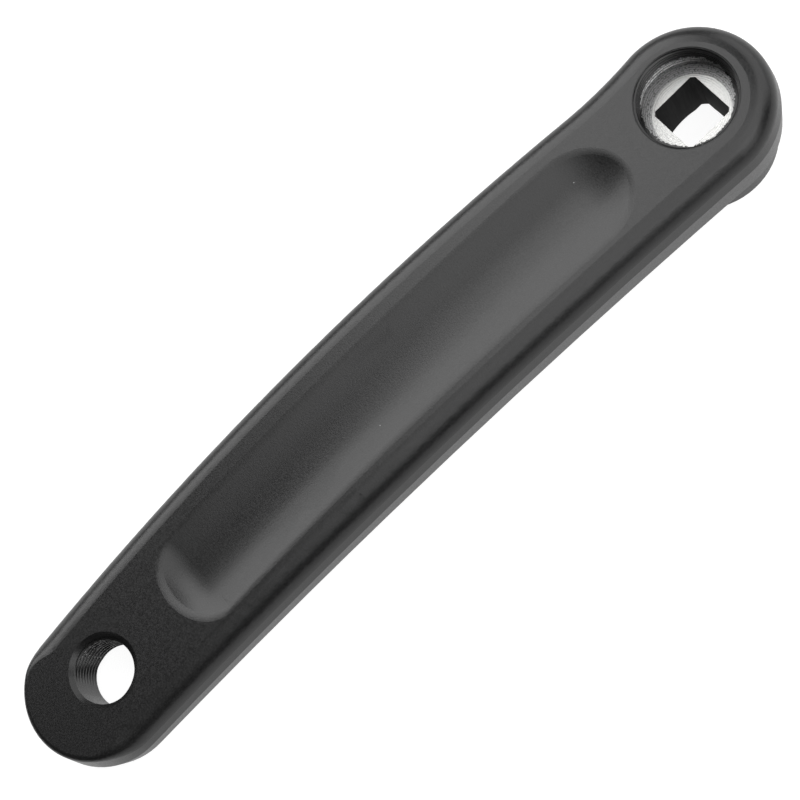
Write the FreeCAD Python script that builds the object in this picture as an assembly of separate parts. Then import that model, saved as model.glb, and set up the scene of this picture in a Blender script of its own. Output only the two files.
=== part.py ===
import FreeCAD, Part
import math
import os

V = FreeCAD.Vector

# A forged left crank arm for a square taper spindle, in one piece.
# The spindle axis is Z and the inner face of the boss is at z = 0. The arm runs along +X to the
# pedal axis, with its outer face up. Seen from outside, the bowed side is at -Y.

# Plan of the arm at the forging's parting line
crank_length = 170.0
hub_radius = 18.1
hub_offset = 0.55
tip_overhang = 20.85
waist_to_pedal = 65.8
waist_relief = 2.8
waist_to_pedal_radius = 1735.0
bow_crest_to_pedal = 77.8
bow_height = 3.0
bow_radius = 737.0
bow_blend_radius = 101.0
side_draft_deg = 5.8

# The arm seen from its edge
boss_height = 8.0
hub_thickness = 16.0
eye_back = 10.8
eye_thickness = 12.4

# Edges of the forging: rounded at the front, chamfered at the back
front_edge_radius = 5.0
tip_edge_radius = 1.2
tight_from_deg = 50.0
back_edge_chamfer = 0.6

# Boss around the square, on the inner side
boss_step = 2.4
boss_draft_deg = 2.0
boss_edge_chamfer = 0.7
boss_root_radius = 0.8

# Scoop along the outer face
scoop_start = 18.5
scoop_end_to_pedal = 21.0
scoop_half_width = 10.4
scoop_depth = 2.0
scoop_hub_cap = 12.0
scoop_pedal_cap = 8.0
scoop_offset = 1.7
scoop_bow_radius = 1050.0
scoop_rim_radius = 4.5

# Spindle bore: extractor thread, bolt seat and tapered square
extractor_radius = 11.0
extractor_depth = 7.5
extractor_chamfer = 0.25
square_half_at_seat = 5.85
square_corner_reach = 7.75
square_taper_deg = 2.0
square_lead_in = 0.9

# Pedal eye
pedal_thread_radius = 7.14
pedal_chamfer = 0.93

# How far cutting shapes run past what they cut
overrun = 1.0

hub_front = boss_height + hub_thickness
eye_front = eye_back + eye_thickness
lowest_front = min(hub_front, eye_front)
highest_back = max(boss_height, eye_back)
parting_z = boss_height + hub_thickness / 2
tip_x = crank_length + tip_overhang
waist_x = crank_length - waist_to_pedal
waist_y = hub_offset + hub_radius - waist_relief
bow_x = crank_length - bow_crest_to_pedal
boss_radius = hub_radius - boss_step
seat_z = hub_front - extractor_depth


def toward(centre, target, radius):
    """The point at radius from centre, on the line to target."""
    return centre + (target - centre).normalize() * radius


def meeting(c1, r1, c2, r2):
    """The point at r1 from c1 and r2 from c2, to the right of the line from c1 to c2."""
    gap = c2 - c1
    along = (gap.Length**2 + r1**2 - r2**2) / (2 * gap.Length)
    across = math.sqrt(r1**2 - along**2)
    unit = gap / gap.Length
    return c1 + unit * along + V(unit.y, -unit.x, 0) * across


# Centres of the plan's tangent arcs, which stay where they are when the plan is drawn in
hub_centre = V(0, hub_offset, 0)
hub_to_waist_radius = (waist_x**2 + (hub_radius - waist_relief)**2 - hub_radius**2) / (2 * waist_relief)
waist_hub_centre = V(waist_x, waist_y + hub_to_waist_radius, 0)
waist_pedal_centre = V(waist_x, waist_y + waist_to_pedal_radius, 0)
bow_centre = V(bow_x, bow_radius - hub_radius - bow_height, 0)
blend_centre = meeting(
    hub_centre, hub_radius + bow_blend_radius, bow_centre, bow_radius + bow_blend_radius
)


def tip_centre(radius):
    """Centre of a tip arc that reaches tip_x and touches the bow from inside."""
    x = tip_x - radius
    return V(x, bow_centre.y - math.sqrt((bow_radius - radius) ** 2 - (x - bow_x) ** 2), 0)


def touching_tip_radius():
    """Radius at which the tip arc touches the straighter side too, by halving the interval."""
    small, large = hub_radius / 3, hub_radius * 3 / 2
    while large - small > 1e-9:
        radius = (small + large) / 2
        gap = (tip_centre(radius) - waist_pedal_centre).Length - waist_to_pedal_radius
        if gap < radius:
            large = radius
        else:
            small = radius
    return radius


tip_radius = touching_tip_radius()


def plan_wire(inset, z):
    """The arm's plan, drawn in by inset, as tangent arcs at height z. The tip's arc is in three."""
    tip = tip_centre(tip_radius)
    hub_r, tip_r, bow_r = hub_radius - inset, tip_radius - inset, bow_radius - inset
    waist = V(waist_x, waist_y - inset, 0)
    hub_top = toward(hub_centre, waist_hub_centre, hub_r)
    hub_low = toward(hub_centre, blend_centre, hub_r)
    bow_hub = toward(bow_centre, blend_centre, bow_r)
    bow_tip = toward(tip, bow_centre, -tip_r)
    tip_top = toward(tip, waist_pedal_centre, tip_r)
    tight_x = tip_r * math.cos(math.radians(tight_from_deg))
    tight_y = tip_r * math.sin(math.radians(tight_from_deg))
    tight_low, tight_top = tip + V(tight_x, -tight_y, 0), tip + V(tight_x, tight_y, 0)
    arcs = [
        (hub_low, blend_centre, bow_blend_radius + inset, bow_hub),
        (bow_hub, bow_centre, bow_r, bow_tip),
        (bow_tip, tip, tip_r, tight_low),
        (tight_low, tip, tip_r, tight_top),
        (tight_top, tip, tip_r, tip_top),
        (tip_top, waist_pedal_centre, waist_to_pedal_radius + inset, waist),
        (waist, waist_hub_centre, hub_to_waist_radius + inset, hub_top),
    ]
    rise = V(0, 0, z)
    edges = [Part.Arc(hub_top + rise, hub_centre + V(-hub_r, 0, z), hub_low + rise).toShape()]
    for start, centre, radius, end in arcs:
        middle = toward(centre, (start + end) / 2, radius)
        edges.append(Part.Arc(start + rise, middle + rise, end + rise).toShape())
    return Part.Wire(edges)


def tilted(wire, z_hub, z_eye):
    """A level wire at height z_hub, turned about the hub's cross axis to reach z_eye at the eye."""
    wire.rotate(V(0, 0, z_hub), V(0, 1, 0), math.degrees(math.atan((z_hub - z_eye) / crank_length)))
    return wire


def drafted_forging():
    """The plan carried from the parting line to the front and back faces, drawn in by the draft."""
    inset = math.tan(math.radians(side_draft_deg)) * hub_thickness / 2
    front = tilted(plan_wire(inset, hub_front), hub_front, eye_front)
    back = tilted(plan_wire(inset, boss_height), boss_height, eye_back)
    parting = plan_wire(0, parting_z)
    above = Part.makeLoft([parting, front], True, True)
    below = Part.makeLoft([back, parting], True, True)
    return above.fuse(below).Solids[0]


def front_radius_at(vertex):
    """The front rounding's radius at one end of an edge: tight round the tip."""
    near_tip = vertex.X > crank_length + tip_overhang / 2
    return tip_edge_radius if near_tip else front_edge_radius


def rounded_front(solid):
    """The solid with its front edges rounded, by a radius that tightens towards the tip."""
    document = FreeCAD.newDocument()
    base = document.addObject("Part::Feature", "Base")
    base.Shape = solid
    rounding = document.addObject("Part::Fillet", "Rounding")
    rounding.Base = base
    radii = []
    for number, edge in enumerate(solid.Edges, 1):
        if edge.BoundBox.ZMin > lowest_front - overrun:
            ends = edge.Vertexes
            radii.append((number, front_radius_at(ends[0]), front_radius_at(ends[-1])))
    rounding.Edges = radii
    document.recompute()
    eased = rounding.Shape.copy()
    FreeCAD.closeDocument(document.Name)
    return eased


def eased_back(solid):
    """The solid with its back edges chamfered."""
    edges = [e for e in solid.Edges if e.BoundBox.ZMax < highest_back + overrun / 2]
    return solid.makeChamfer(back_edge_chamfer, edges)


def boss():
    """The boss around the square, turned, from its inner face up into the hub."""
    flare = math.tan(math.radians(boss_draft_deg)) * parting_z
    corners = [(0, 0), (boss_radius, 0), (boss_radius + flare, parting_z), (0, parting_z), (0, 0)]
    profile = Part.makePolygon([hub_centre + V(r, 0, z) for r, z in corners])
    turned = Part.Face(profile).revolve(hub_centre, V(0, 0, 1), 360)
    rim = [e for e in turned.Edges if e.BoundBox.ZMax < overrun and e.BoundBox.YLength > boss_radius]
    return turned.makeChamfer(boss_edge_chamfer, rim)


def with_boss(solid):
    """The arm and its boss, with a fillet where the boss rises from the arm's back."""
    joined = solid.fuse(boss()).Solids[0]
    root = []
    for edge in joined.Edges:
        box = edge.BoundBox
        middle = edge.valueAt((edge.FirstParameter + edge.LastParameter) / 2)
        middle.z = 0
        beside_boss = abs((middle - hub_centre).Length - boss_radius) < boss_step / 3
        on_back = boss_height - overrun / 2 < box.ZMin and box.ZMax < boss_height + overrun / 2
        if beside_boss and on_back:
            root.append(edge)
    return joined.makeFillet(boss_root_radius, root)


def scoop_cap(radius, length, side):
    """Half an ellipsoid about the scoop's length, which rounds one end of the scoop."""
    reach = radius * length / scoop_half_width
    centre, nose, crown = V(0, 0, 0), V(side * reach, 0, 0), V(0, radius, 0)
    longer, shorter = (nose, crown) if reach > radius else (crown, nose)
    quarter = Part.Edge(Part.Ellipse(longer, shorter, centre), 0, math.pi / 2)
    straight = [Part.makeLine(nose, centre), Part.makeLine(centre, crown)]
    half_section = Part.Face(Part.Wire(Part.__sortEdges__([quarter] + straight)))
    return half_section.revolve(centre, V(1, 0, 0), 360)


def scoop_cutter():
    """A round trough, bowed in plan, with half an ellipsoid at each end."""
    radius = (scoop_half_width**2 + scoop_depth**2) / (2 * scoop_depth)
    start = scoop_start + scoop_hub_cap
    end = crank_length - scoop_end_to_pedal - scoop_pedal_cap
    middle = (start + end) / 2
    hinge = V(middle, scoop_bow_radius - scoop_offset, 0)
    half_turn = math.degrees(math.asin((end - start) / 2 / scoop_bow_radius))
    ring = Part.makeCircle(radius, hinge - V(0, scoop_bow_radius, 0), V(1, 0, 0))
    disc = Part.Face(Part.Wire(ring))
    disc.rotate(hinge, V(0, 0, 1), -half_turn)
    cutter = disc.revolve(hinge, V(0, 0, 1), 2 * half_turn)
    for side, length in ((-1, scoop_hub_cap), (1, scoop_pedal_cap)):
        cap = scoop_cap(radius, length, side)
        cap.translate(hinge - V(0, scoop_bow_radius, 0))
        cap.rotate(hinge, V(0, 0, 1), side * half_turn)
        cutter = cutter.fuse(cap)
    cutter.translate(V(0, 0, radius - scoop_depth))
    return cutter


def scooped(solid):
    """The arm with the scoop sunk along its face, and the scoop's rim eased."""
    cutter = scoop_cutter()
    cutter.translate(V(0, 0, hub_front))
    cutter = tilted(cutter, hub_front, eye_front)
    cut = solid.cut(cutter).Solids[0]
    rim = []
    for edge in cut.Edges:
        box = edge.BoundBox
        within = box.XMin > scoop_start - overrun and box.XMax < crank_length - scoop_end_to_pedal + overrun
        if within and box.ZMin > lowest_front - overrun / 2:
            rim.append(edge)
    return cut.makeFillet(scoop_rim_radius, rim)


def square_at(z):
    """The square socket's outline at height z, where the taper has widened it."""
    half = square_half_at_seat + (seat_z - z) * math.tan(math.radians(square_taper_deg))
    corners = [(half, half), (-half, half), (-half, -half), (half, -half), (half, half)]
    return Part.makePolygon([V(x, y, z) for x, y in corners])


def spindle_bore():
    """The tapered square with its blunted corners, opening into the extractor recess."""
    socket = Part.makeLoft([square_at(-overrun), square_at(seat_z + overrun)], True, True)
    widening = math.tan(math.radians(square_taper_deg))
    low_reach = square_corner_reach + (seat_z + overrun) * widening
    high_reach = square_corner_reach - overrun * widening
    corners = Part.makeCone(low_reach, high_reach, seat_z + 2 * overrun, V(0, 0, -overrun))
    mouth = square_half_at_seat + seat_z * widening + square_lead_in
    lead_in = Part.makeCone(mouth + overrun, 0, mouth + overrun, V(0, 0, -overrun))
    recess = Part.makeCylinder(extractor_radius, extractor_depth + overrun, V(0, 0, seat_z))
    lip_r = extractor_radius - extractor_chamfer
    lip = Part.makeCone(
        lip_r, lip_r + 3 * extractor_chamfer, 3 * extractor_chamfer,
        V(0, 0, hub_front - 2 * extractor_chamfer)
    )
    return socket.common(corners).multiFuse([lead_in, recess, lip])


def pedal_bore():
    """The pedal hole, countersunk on both faces."""
    axis = V(crank_length, 0, 0)
    bore = Part.makeCylinder(pedal_thread_radius, eye_front + overrun, axis)
    wide = pedal_thread_radius + pedal_chamfer
    front = Part.makeCone(0, wide + overrun, wide + overrun, axis + V(0, 0, eye_front - wide))
    back = Part.makeCone(wide + overrun, 0, wide + overrun, axis + V(0, 0, eye_back - overrun))
    return bore.multiFuse([front, back])


def crank_arm():
    forging = with_boss(eased_back(rounded_front(drafted_forging())))
    return scooped(forging).cut(spindle_bore()).cut(pedal_bore()).Solids[0]


os.makedirs("parts", exist_ok=True)
crank_arm().exportStep("parts/crank_arm.step")
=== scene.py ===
import math

import bpy
import numpy as np
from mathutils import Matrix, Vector


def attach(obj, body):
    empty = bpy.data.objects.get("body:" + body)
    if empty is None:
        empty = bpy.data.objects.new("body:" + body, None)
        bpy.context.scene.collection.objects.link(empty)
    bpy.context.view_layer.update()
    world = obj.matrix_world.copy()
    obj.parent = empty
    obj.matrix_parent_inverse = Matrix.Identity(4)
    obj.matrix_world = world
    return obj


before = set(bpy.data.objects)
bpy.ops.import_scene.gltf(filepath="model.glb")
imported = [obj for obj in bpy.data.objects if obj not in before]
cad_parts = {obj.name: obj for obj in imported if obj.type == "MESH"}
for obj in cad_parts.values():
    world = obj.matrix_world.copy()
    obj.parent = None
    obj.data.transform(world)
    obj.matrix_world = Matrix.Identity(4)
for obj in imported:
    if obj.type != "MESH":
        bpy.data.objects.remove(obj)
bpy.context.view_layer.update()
mm = 0.001
print("frame loaded")

# Left crank arm, outer face up. Frame: the spindle axis is Z, and +X runs to the pedal eye.
# In the dictionaries sizes and places are millimetres, angles are degrees, and texture scales are
# cells per metre. A range is the pair of values that a ramp runs between.

# The camera looks down on the outer face, from beyond the straighter side.
cameraValues = {
    "place": (60.5, 151.56, 384.73),
    "turn": (13.993, 17.805, 138.610),
    "lens": 85.0,
    "sensor": 36.0,
    "farthest": 20000.0,
    "shift": (-0.0024, 0.0014),   # share of the picture's width
}

camera = bpy.data.objects.new("camera", bpy.data.cameras.new("camera"))
bpy.context.scene.collection.objects.link(camera)
camera.location = [v * mm for v in cameraValues["place"]]
camera.rotation_euler = [math.radians(v) for v in cameraValues["turn"]]
camera.data.lens = cameraValues["lens"]
camera.data.shift_x, camera.data.shift_y = cameraValues["shift"]
camera.data.sensor_width = cameraValues["sensor"]
camera.data.clip_end = cameraValues["farthest"] * mm
bpy.context.scene.camera = camera
print("camera set")


def meshPiece(name, points, faces, material, smooth=True):
    # Puts arrays of points (in mm) and quads into a new object at the origin.
    mesh = bpy.data.meshes.new(name)
    mesh.from_pydata((np.asarray(points) * mm).tolist(), [], np.asarray(faces).tolist())
    mesh.materials.append(material)
    mesh.polygons.foreach_set("use_smooth", [smooth] * len(mesh.polygons))
    mesh.update()
    piece = bpy.data.objects.new(name, mesh)
    bpy.context.scene.collection.objects.link(piece)
    return piece


def ringFaces(rows, columns):
    # Quads of a grid closed both ways, rows by columns, as on a ring with a closed section. They face
    # outwards where the columns run round the axis and the rows go up the ring's inner wall.
    i = np.arange(rows)[:, None]
    j = np.arange(columns)[None, :]
    nextI, nextJ = (i + 1) % rows, (j + 1) % columns
    corners = (i * columns + j, nextI * columns + j, nextI * columns + nextJ, i * columns + nextJ)
    return np.stack([np.broadcast_to(c, (rows, columns)) for c in corners], -1).reshape(-1, 4)


def put(tree, kind, **settings):
    node = tree.nodes.new(kind)
    for key, value in settings.items():
        setattr(node, key, value)
    return node


def feed(tree, node, **sources):
    # Links or sets a node's inputs by name, or by number as i0 or i1; a space in a name is an underscore.
    for key, source in sources.items():
        numbered = key[0] == "i" and key[1:].isdigit()
        socket = node.inputs[int(key[1:]) if numbered else key.replace("_", " ")]
        if isinstance(source, bpy.types.NodeSocket):
            tree.links.new(source, socket)
        else:
            socket.default_value = source
    return node


def sums(tree, operation, a, b=0.0, c=0.0):
    node = put(tree, "ShaderNodeMath", operation=operation)
    return feed(tree, node, i0=a, i1=b, i2=c).outputs[0]


def between(tree, factor, a, b):
    # A value that goes from a to b: a plus factor times (b - a).
    return sums(tree, "MULTIPLY_ADD", factor, sums(tree, "SUBTRACT", b, a), a)


def ramp(tree, value, low, high, fromValue=0.0, toValue=1.0):
    node = put(tree, "ShaderNodeMapRange", interpolation_type="SMOOTHSTEP")
    feed(tree, node, Value=value, From_Min=low, From_Max=high, To_Min=fromValue, To_Max=toValue)
    return node.outputs["Result"]


def blend(tree, factor, a, b):
    node = put(tree, "ShaderNodeMix", data_type="RGBA")
    return feed(tree, node, i0=factor, i6=a, i7=b).outputs[2]


def noise(tree, place, scale, detail, roughness=0.5):
    node = put(tree, "ShaderNodeTexNoise")
    feed(tree, node, Vector=place, Scale=scale, Detail=detail, Roughness=roughness)
    return node.outputs["Fac"]


def splitAxes(tree, place):
    node = feed(tree, put(tree, "ShaderNodeSeparateXYZ"), Vector=place)
    return node.outputs[0], node.outputs[1], node.outputs[2]


def fromAxis(tree, x, y):
    # Distance from the axis: the root of x squared plus y squared.
    return sums(tree, "SQRT", sums(tree, "ADD", sums(tree, "MULTIPLY", x, x), sums(tree, "MULTIPLY", y, y)))


def bump(tree, height, distance, **normal):
    node = put(tree, "ShaderNodeBump")
    feed(tree, node, Strength=bumpValues["strength"], Distance=distance * mm, Height=height, **normal)
    return node.outputs["Normal"]


def grey(shade):
    return (shade, shade, shade, 1)


def newGroup(name, inputs, outputs):
    tree = bpy.data.node_groups.new(name, "ShaderNodeTree")
    for socketName, socketType, value in inputs:
        socket = tree.interface.new_socket(socketName, in_out="INPUT", socket_type=socketType)
        if value is not None:
            socket.default_value = value
    for socketName, socketType in outputs:
        tree.interface.new_socket(socketName, in_out="OUTPUT", socket_type=socketType)
    return tree, tree.nodes.new("NodeGroupInput"), tree.nodes.new("NodeGroupOutput")


def useGroup(tree, group, **values):
    node = put(tree, "ShaderNodeGroup", node_tree=group)
    return feed(tree, node, **values)


# Coating grain: a fine pebbling of the satin surface, cloudy tone and a few pale dust specks.
# Grain Size is in millimetres, and Speck Amount is the share of cells that hold a speck.
coatingValues = {
    "cloudScale": 90.0, "cloudDark": (0.004, 0.004, 0.0041, 1), "cloudPale": (0.0065, 0.0065, 0.0066, 1),
    "pebbleRange": (0.35, 0.7), "pebble": (0.0095, 0.0095, 0.0097, 1),
    "speckScale": 140.0, "speckFade": (0.022, 0.012), "speck": 0.3,   # the fade is in shares of a cell
    "roughRange": (0.3, 0.7), "roughness": (0.28, 0.37),
}
grain, grainIn, grainOut = newGroup(
    "coating grain",
    [
        ("Vector", "NodeSocketVector", None), ("Grain Size", "NodeSocketFloat", 0.4),
        ("Speck Amount", "NodeSocketFloat", 0.5),
    ],
    [("Color", "NodeSocketColor"), ("Roughness", "NodeSocketFloat"), ("Height", "NodeSocketFloat")],
)
fineScale = sums(grain, "DIVIDE", 1 / mm, grainIn.outputs["Grain Size"])
fine = noise(grain, grainIn.outputs["Vector"], fineScale, 2.0)
cloud = noise(grain, grainIn.outputs["Vector"], coatingValues["cloudScale"], 3.0)
cells = put(grain, "ShaderNodeTexVoronoi")
feed(grain, cells, Vector=grainIn.outputs["Vector"], Scale=coatingValues["speckScale"])
chosen = feed(grain, put(grain, "ShaderNodeSeparateColor"), Color=cells.outputs["Color"])
dot = ramp(grain, cells.outputs["Distance"], *coatingValues["speckFade"])
rare = ramp(grain, chosen.outputs[0], sums(grain, "SUBTRACT", 1.0, grainIn.outputs["Speck Amount"]), 1.0)
speck = sums(grain, "MULTIPLY", dot, rare)
base = blend(grain, cloud, coatingValues["cloudDark"], coatingValues["cloudPale"])
base = blend(grain, ramp(grain, fine, *coatingValues["pebbleRange"]), base, coatingValues["pebble"])
feed(grain, grainOut, Color=blend(grain, speck, base, grey(coatingValues["speck"])), Height=fine)
satin = ramp(grain, fine, *coatingValues["roughRange"], *coatingValues["roughness"])
feed(grain, grainOut, Roughness=satin)

# Bare alloy: a smooth bright seat inside Seat Radius, and outside it darker, rougher turned rings with
# dark specks. Ring Pitch is in millimetres, and Seat Radius is in metres.
alloyValues = {
    "seatRadius": 8.45, "seatFade": 0.12, "seat": (0.48, 0.48, 0.47, 1),
    "ringRange": (-0.8, 0.8), "ringDark": 0.28, "ringPale": 0.38, "ringHeight": 0.3, "ringRougher": 0.16,
    "wanderScale": 260.0, "wander": 11.0,   # how far the rings stray, in radians of their sine
    "speckScale": 2300.0, "speckRange": (0.52, 0.60), "speck": 0.05, "cleanSeat": 0.8,
    "roughRange": (0.3, 0.7), "roughness": (0.26, 0.40),
}
alloy, alloyIn, alloyOut = newGroup(
    "bare alloy",
    [
        ("Vector", "NodeSocketVector", None), ("Ring Pitch", "NodeSocketFloat", 0.4),
        ("Mottle", "NodeSocketFloat", 0.5),
        ("Seat Radius", "NodeSocketFloat", alloyValues["seatRadius"] * mm),
    ],
    [("Color", "NodeSocketColor"), ("Roughness", "NodeSocketFloat"), ("Height", "NodeSocketFloat")],
)
x, y = splitAxes(alloy, alloyIn.outputs["Vector"])[:2]
radius = fromAxis(alloy, x, y)
perPitch = sums(alloy, "MULTIPLY", radius, 2 * math.pi / mm)
turns = sums(alloy, "DIVIDE", perPitch, alloyIn.outputs["Ring Pitch"])
wander = noise(alloy, alloyIn.outputs["Vector"], alloyValues["wanderScale"], 2.0)
ring = sums(alloy, "SINE", sums(alloy, "MULTIPLY_ADD", wander, alloyValues["wander"], turns))
patch = noise(alloy, alloyIn.outputs["Vector"], alloyValues["speckScale"], 4.0, 0.7)
pastSeat = sums(alloy, "SUBTRACT", radius, alloyIn.outputs["Seat Radius"])
seat = ramp(alloy, pastSeat, alloyValues["seatFade"] * mm, -alloyValues["seatFade"] * mm)
crest = ramp(alloy, ring, *alloyValues["ringRange"])
turned = blend(alloy, crest, grey(alloyValues["ringDark"]), grey(alloyValues["ringPale"]))
metal = blend(alloy, seat, turned, alloyValues["seat"])
offSeat = sums(alloy, "MULTIPLY_ADD", seat, -alloyValues["cleanSeat"], 1.0)
specks = sums(alloy, "MULTIPLY", ramp(alloy, patch, *alloyValues["speckRange"]), alloyIn.outputs["Mottle"])
specks = sums(alloy, "MULTIPLY", specks, offSeat)
feed(alloy, alloyOut, Color=blend(alloy, specks, metal, grey(alloyValues["speck"])))
polish = ramp(alloy, patch, *alloyValues["roughRange"], *alloyValues["roughness"])
feed(alloy, alloyOut, Roughness=sums(alloy, "MULTIPLY_ADD", offSeat, alloyValues["ringRougher"], polish))
feed(alloy, alloyOut, Height=sums(alloy, "MULTIPLY_ADD", ring, alloyValues["ringHeight"], patch))

# Where paint stops in the extractor recess: it was sprayed at a slant, so the bare zone is a slanting
# cylinder with a ragged edge: bare where |(x, y) - slant * (z - centredAt)| < edge + noise.
paintValues = {
    "slant": (0.168, 0.42), "centredAt": 22.0, "edge": 9.85, "ragged": 0.75, "raggedScale": 1900.0,
    "fade": 0.06, "socketTop": 16.4,   # just under the bolt's seat
}
sprayed, sprayedIn, sprayedOut = newGroup(
    "paint edge in recess", [("Vector", "NodeSocketVector", None)], [("Bare", "NodeSocketFloat")]
)
x, y, z = splitAxes(sprayed, sprayedIn.outputs["Vector"])
height = sums(sprayed, "SUBTRACT", z, paintValues["centredAt"] * mm)
offX = sums(sprayed, "MULTIPLY_ADD", height, -paintValues["slant"][0], x)
offY = sums(sprayed, "MULTIPLY_ADD", height, -paintValues["slant"][1], y)
ragged = noise(sprayed, sprayedIn.outputs["Vector"], paintValues["raggedScale"], 3.0, 0.65)
waver = sums(sprayed, "SUBTRACT", ragged, 0.5)
edge = sums(sprayed, "MULTIPLY_ADD", waver, 2 * paintValues["ragged"] * mm, paintValues["edge"] * mm)
pastEdge = sums(sprayed, "SUBTRACT", fromAxis(sprayed, offX, offY), edge)
inside = ramp(sprayed, pastEdge, paintValues["fade"] * mm, -paintValues["fade"] * mm)
above = sums(sprayed, "GREATER_THAN", z, paintValues["socketTop"] * mm)
feed(sprayed, sprayedOut, Bare=sums(sprayed, "MULTIPLY", inside, above))

# Each finish has the inputs of the two groups, and bumps have a strength and a height.
finishValues = {
    "satin black coating": {"grainSize": 0.35, "specks": 0.35, "ringPitch": 0.45, "mottle": 0.65},
    "recess thread": {"grainSize": 0.35, "specks": 0.35, "ringPitch": 0.45, "mottle": 0.65},
    "pedal thread": {"grainSize": 0.35, "specks": 0.35, "ringPitch": 0.6, "mottle": 0.3},
}
bumpValues = {"strength": 0.5, "coating": 0.04, "alloy": 0.06}


def finishMaterial(name, bareFrom, dullFrom=None):
    # Satin coating, bare alloy where bareFrom(tree, place) is 1, and a dull finish where dullFrom's is 1.
    values = finishValues[name]
    material = bpy.data.materials.new(name)
    material.use_nodes = True
    tree = material.node_tree
    place = put(tree, "ShaderNodeTexCoord").outputs["Object"]
    coat = useGroup(tree, grain, Vector=place, Grain_Size=values["grainSize"], Speck_Amount=values["specks"])
    metal = useGroup(tree, alloy, Vector=place, Ring_Pitch=values["ringPitch"], Mottle=values["mottle"])
    color, roughness = coat.outputs["Color"], coat.outputs["Roughness"]
    if dullFrom:
        dull, dullColor, dullRoughness = dullFrom(tree, place)
        color = blend(tree, dull, color, dullColor)
        roughness = between(tree, dull, roughness, dullRoughness)
    bare = bareFrom(tree, place)
    pebbled = bump(tree, coat.outputs["Height"], bumpValues["coating"])
    marks = sums(tree, "MULTIPLY", bare, metal.outputs["Height"])
    marked = bump(tree, marks, bumpValues["alloy"], Normal=pebbled)
    shader = tree.nodes["Principled BSDF"]
    feed(tree, shader, Base_Color=blend(tree, bare, color, metal.outputs["Color"]), Metallic=bare)
    feed(tree, shader, Roughness=between(tree, bare, roughness, metal.outputs["Roughness"]), Normal=marked)
    return material


def bareRecess(tree, place):
    return useGroup(tree, sprayed, Vector=place).outputs["Bare"]


# The socket's walls reach from the boss's face to just under the bolt's seat.
socketValues = {
    "reach": 9.0, "face": 0.005, "dark": 0.002, "pale": 0.018, "roughness": 0.85,
    "streakScale": 900.0, "streakRange": (0.35, 0.7), "drawnOut": 0.1,
}


def dullSocket(tree, place):
    # The broached walls: a mask, a tone in streaks drawn out along the axis, and a roughness.
    x, y, z = splitAxes(tree, place)
    below = sums(tree, "LESS_THAN", z, paintValues["socketTop"] * mm)
    above = sums(tree, "GREATER_THAN", z, socketValues["face"] * mm)
    near = sums(tree, "LESS_THAN", fromAxis(tree, x, y), socketValues["reach"] * mm)
    mask = sums(tree, "MULTIPLY", sums(tree, "MULTIPLY", below, above), near)
    drawn = put(tree, "ShaderNodeMapping")
    feed(tree, drawn, Vector=place, Scale=(1, 1, socketValues["drawnOut"]))
    streak = noise(tree, drawn.outputs[0], socketValues["streakScale"], 3.0)
    streak = ramp(tree, streak, *socketValues["streakRange"])
    walls = blend(tree, streak, grey(socketValues["dark"]), grey(socketValues["pale"]))
    return mask, walls, socketValues["roughness"]


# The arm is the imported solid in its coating.
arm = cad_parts["crank_arm"]
arm.data.materials.clear()
arm.data.materials.append(finishMaterial("satin black coating", bareRecess, dullSocket))
arm.data.polygons.foreach_set("use_smooth", [True] * len(arm.data.polygons))
print("arm coated")

# Both threads: the grid, the ridge's section, and how deep the root and the outer wall are sunk.
ridgeValues = {"columns": 144, "perTurn": 12, "flat": 1.35, "steep": 3.0, "sunk": 0.02, "buried": 0.25}
extractorThreadValues = {
    "axisX": 0.0, "wall": 11.0, "crest": 10.46, "low": 17.5, "high": 23.9, "pitch": 1.0, "hand": 1,
    "filled": 0.0, "filledAt": 0.0, "spread": 1.0,
}
pedalThreadValues = {
    "axisX": 170.0, "wall": 7.14, "crest": 6.52, "low": 11.75, "high": 22.2, "pitch": 1.27, "hand": -1,
    "filled": 0.95, "filledAt": 15.0, "spread": 1.25,
    "rubbed": 1.0, "rubbedAt": 297.0, "rubbedSide": (0.35, 0.7), "rubbedDepth": (0.22, 0.05),
    "speckScale": 2200.0, "speckRange": (0.52, 0.60),
}


def bareCrests(tree, place):
    # Paint rubbed off the pedal thread's crests in specks, on the side that faces rubbedAt.
    shifted = feed(tree, put(tree, "ShaderNodeMapping"), Vector=place)
    feed(tree, shifted, Location=(-pedalThreadValues["axisX"] * mm, 0, 0))
    x, y = splitAxes(tree, shifted.outputs[0])[:2]
    radius = fromAxis(tree, x, y)
    deep, shallow = ((pedalThreadValues["crest"] + d) * mm for d in pedalThreadValues["rubbedDepth"])
    specks = noise(tree, place, pedalThreadValues["speckScale"], 2.0)
    specks = ramp(tree, specks, *pedalThreadValues["speckRange"])
    spots = sums(tree, "MULTIPLY", ramp(tree, radius, deep, shallow), specks)
    angle = math.radians(pedalThreadValues["rubbedAt"])
    sideways = sums(tree, "MULTIPLY_ADD", y, math.sin(angle), sums(tree, "MULTIPLY", x, math.cos(angle)))
    side = sums(tree, "DIVIDE", sideways, radius)
    facing = ramp(tree, side, *pedalThreadValues["rubbedSide"], 0.0, pedalThreadValues["rubbed"])
    return sums(tree, "MULTIPLY", spots, facing)


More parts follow.
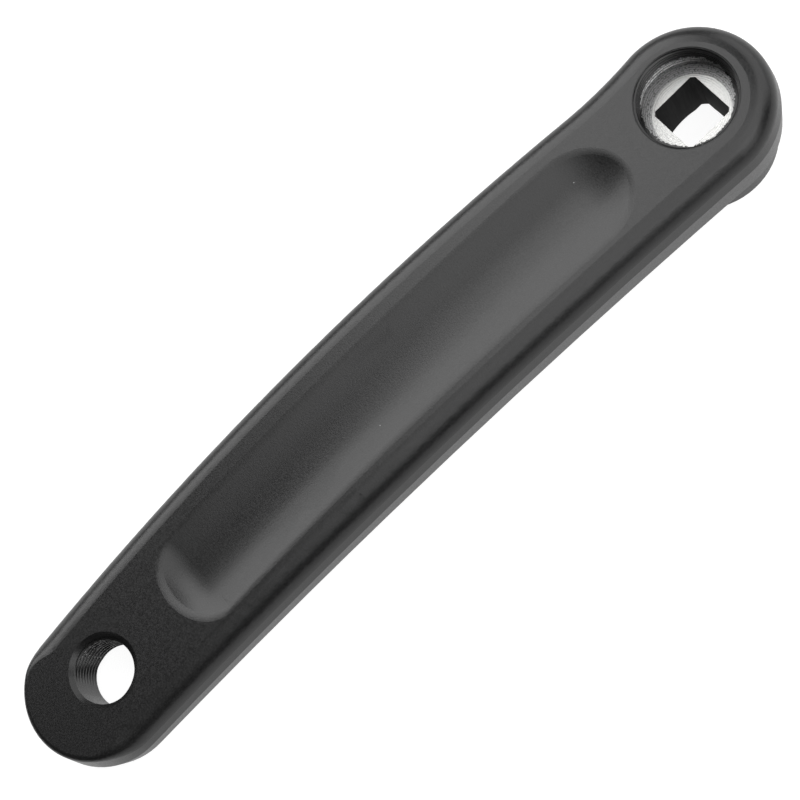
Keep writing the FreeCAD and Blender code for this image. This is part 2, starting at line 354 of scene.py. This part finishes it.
def threadSleeve(name, values, material):
    # A helical thread inside a hole. Its phase is the share of a pitch in z / pitch - hand * angle / turn.
    # Its ridge is flat - steep * |phase - 0.5| held between 0 and 1, and fades out over the last half
    # pitch at both ends. The inner wall's radius is the root's less the thread's depth times the ridge.
    # Paint fills the thread on one side: the depth is less by filled times spread * cos(angle - filledAt),
    # held between 0 and 1.
    # The outer wall is a plain cylinder buried in the solid, which closes the ring.
    columns = ridgeValues["columns"]
    rows = int((values["high"] - values["low"]) / values["pitch"] * ridgeValues["perTurn"])
    z = np.linspace(values["low"], values["high"], rows)[:, None]
    angle = np.linspace(0, 2 * math.pi, columns, endpoint=False)[None, :]
    phase = (z / values["pitch"] - values["hand"] * angle / (2 * math.pi)) % 1.0
    ridge = np.clip(ridgeValues["flat"] - ridgeValues["steep"] * np.abs(phase - 0.5), 0, 1)
    fade = np.clip(np.minimum(z - values["low"], values["high"] - z) / (values["pitch"] / 2), 0, 1)
    towards = np.cos(angle - math.radians(values["filledAt"]))
    painted = 1 - values["filled"] * np.clip(values["spread"] * towards, 0, 1)
    root = values["wall"] + ridgeValues["sunk"]
    inner = root - (root - values["crest"]) * ridge * fade * painted
    outer = np.full((2, columns), values["wall"] + ridgeValues["buried"])
    r = np.vstack([inner, outer])
    ends = np.broadcast_to([[values["high"]], [values["low"]]], (2, columns))
    heights = np.vstack([np.broadcast_to(z, (rows, columns)), ends])
    around = np.broadcast_to(angle, r.shape)
    points = np.stack([values["axisX"] + r * np.cos(around), r * np.sin(around), heights], -1).reshape(-1, 3)
    piece = meshPiece(name, points, ringFaces(rows + 2, columns), material)
    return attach(piece, "root")


threadSleeve("extractor_thread", extractorThreadValues, finishMaterial("recess thread", bareRecess))
threadSleeve("pedal_thread", pedalThreadValues, finishMaterial("pedal thread", bareCrests))
print("threads cut")

# The arm rests on its boss and its tip, so the floor slopes between them. It glows towards the camera,
# and less brightly in reflections.
floorValues = {
    "halfSize": 3000.0, "touchX": 15.0, "slope": 3.648, "shade": 0.22, "roughness": 0.9,
    "glow": 0.92, "mirrored": 0.72,
}
floorX = floorValues["halfSize"] * np.array([-1, 1, 1, -1])
floorY = floorValues["halfSize"] * np.array([-1, -1, 1, 1])
floorZ = math.tan(math.radians(floorValues["slope"])) * (floorX - floorValues["touchX"])
paper = bpy.data.materials.new("pale floor")
paper.use_nodes = True
paperTree = paper.node_tree
paperShader = paperTree.nodes["Principled BSDF"]
paths = put(paperTree, "ShaderNodeLightPath")
mirrored = sums(paperTree, "MULTIPLY", paths.outputs["Is Glossy Ray"], floorValues["mirrored"])
seen = sums(paperTree, "MAXIMUM", paths.outputs["Is Camera Ray"], mirrored)
seen = sums(paperTree, "MAXIMUM", seen, paths.outputs["Is Transmission Ray"])
glowing = sums(paperTree, "MULTIPLY", seen, floorValues["glow"])
feed(paperTree, paperShader, Base_Color=grey(floorValues["shade"]), Roughness=floorValues["roughness"])
feed(paperTree, paperShader, Emission_Color=grey(1), Emission_Strength=glowing)
floor = meshPiece("floor", np.stack([floorX, floorY, floorZ], -1), [[0, 1, 2, 3]], paper, False)
print("floor laid")

# Soft boxes above the arm, beside both edges and behind the hub, and a thin strip for the bright edge
# line. A lamp's power is its radiance times pi times its area.
lampValues = {
    "bowSideBox": {"place": (80, -840, 610), "aim": (80, 0, 10), "size": (1200, 640), "radiance": 3.2},
    "overBowBox": {"place": (-70, -430, 900), "aim": (-70, -429.9, 0), "size": (440, 560), "radiance": 3.1},
    "overHubBox": {"place": (-375, 500, 900), "aim": (-375, 500.1, 0), "size": (1250, 1180), "radiance": 2.0},
    "behindHubBox": {"place": (-1000, -150, 450), "aim": (0, 0, 10), "size": (1400, 800), "radiance": 1.6},
    "straightSideBox": {"place": (-340, 950, 520), "aim": (-100, 0, 10), "size": (620, 800), "radiance": 1.6},
    "edgeStrip": {"place": (-110, 800, 545), "aim": (20, 0, 10), "size": (300, 40), "radiance": 2.5},
}
for name, values in lampValues.items():
    lamp = bpy.data.lights.new(name, "AREA")
    lamp.shape = "RECTANGLE"
    lamp.size, lamp.size_y = (v * mm for v in values["size"])
    lamp.energy = values["radiance"] * math.pi * lamp.size * lamp.size_y
    lampObject = bpy.data.objects.new(name, lamp)
    bpy.context.scene.collection.objects.link(lampObject)
    lampObject.visible_camera = False
    lampObject.location = [v * mm for v in values["place"]]
    aim = Vector(values["aim"]) * mm - lampObject.location
    lampObject.rotation_euler = aim.to_track_quat("-Z", "Y").to_euler()

worldValues = {"shade": 0.05, "strength": 1.0}
studio = bpy.data.worlds.new("studio")
bpy.context.scene.world = studio
studio.use_nodes = True
background = studio.node_tree.nodes["Background"]
feed(studio.node_tree, background, Color=grey(worldValues["shade"]), Strength=worldValues["strength"])
bpy.context.scene.view_settings.view_transform = "Standard"
print("lights placed")
